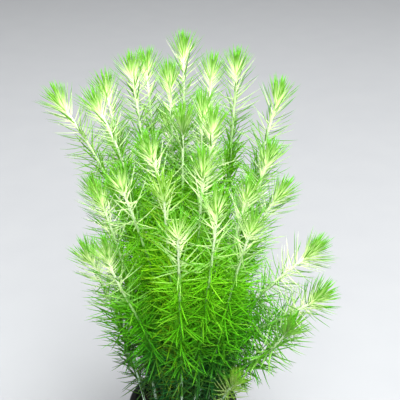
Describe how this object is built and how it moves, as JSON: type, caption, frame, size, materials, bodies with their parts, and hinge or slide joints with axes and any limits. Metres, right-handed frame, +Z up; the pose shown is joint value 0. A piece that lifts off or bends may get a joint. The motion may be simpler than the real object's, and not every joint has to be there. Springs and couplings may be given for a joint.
{
  "type": "potted stream bogmoss",
  "caption": "Bunch of upright aquarium plant shoots with fine needle leaves and bright tufted tips, rooted in a small round pot that stands on its flat foot.",
  "frame": {"origin": "centre of the pot's flat foot, on the surface it stands on", "axes": "+Z up along the pot's axis; the pictured front faces -Y; +X is to the right in the picture"},
  "size_m": [0.1292, 0.1379, 0.2273],
  "materials": {
    "pot": "black moulded plastic with a faint grain, satin on the rolled lip",
    "growing_medium": "dark damp fibrous plug, matt and crumbly",
    "leaves": "thin translucent needle leaves, saturated green low down and pale yellow-green in the tufts, on pale stems"
  },
  "bodies": {
    "root": {"pot": "pot", "growing_medium": "growing_medium", "shoot_back_1": "leaves", "shoot_back_2": "leaves", "shoot_back_3": "leaves", "shoot_back_4": "leaves", "shoot_back_5": "leaves", "shoot_back_6": "leaves", "shoot_back_7": "leaves", "shoot_back_8": "leaves", "shoot_back_9": "leaves", "shoot_middle_1": "leaves", "shoot_middle_2": "leaves", "shoot_middle_3": "leaves", "shoot_middle_4": "leaves", "shoot_middle_5": "leaves", "shoot_middle_6": "leaves", "shoot_middle_7": "leaves", "shoot_middle_8": "leaves", "shoot_middle_9": "leaves", "shoot_front_1": "leaves", "shoot_front_2": "leaves", "shoot_front_3": "leaves", "shoot_front_4": "leaves", "shoot_front_5": "leaves", "shoot_front_6": "leaves", "shoot_left_1": "leaves", "shoot_left_2": "leaves", "shoot_right_1": "leaves", "shoot_right_2": "leaves", "shoot_right_3": "leaves", "shoot_low": "leaves", "shoot_rear_1": "leaves", "shoot_rear_2": "leaves", "shoot_rear_3": "leaves", "shoot_rear_4": "leaves", "shoot_rear_5": "leaves", "shoot_rear_6": "leaves"}
  },
  "joints": []
}
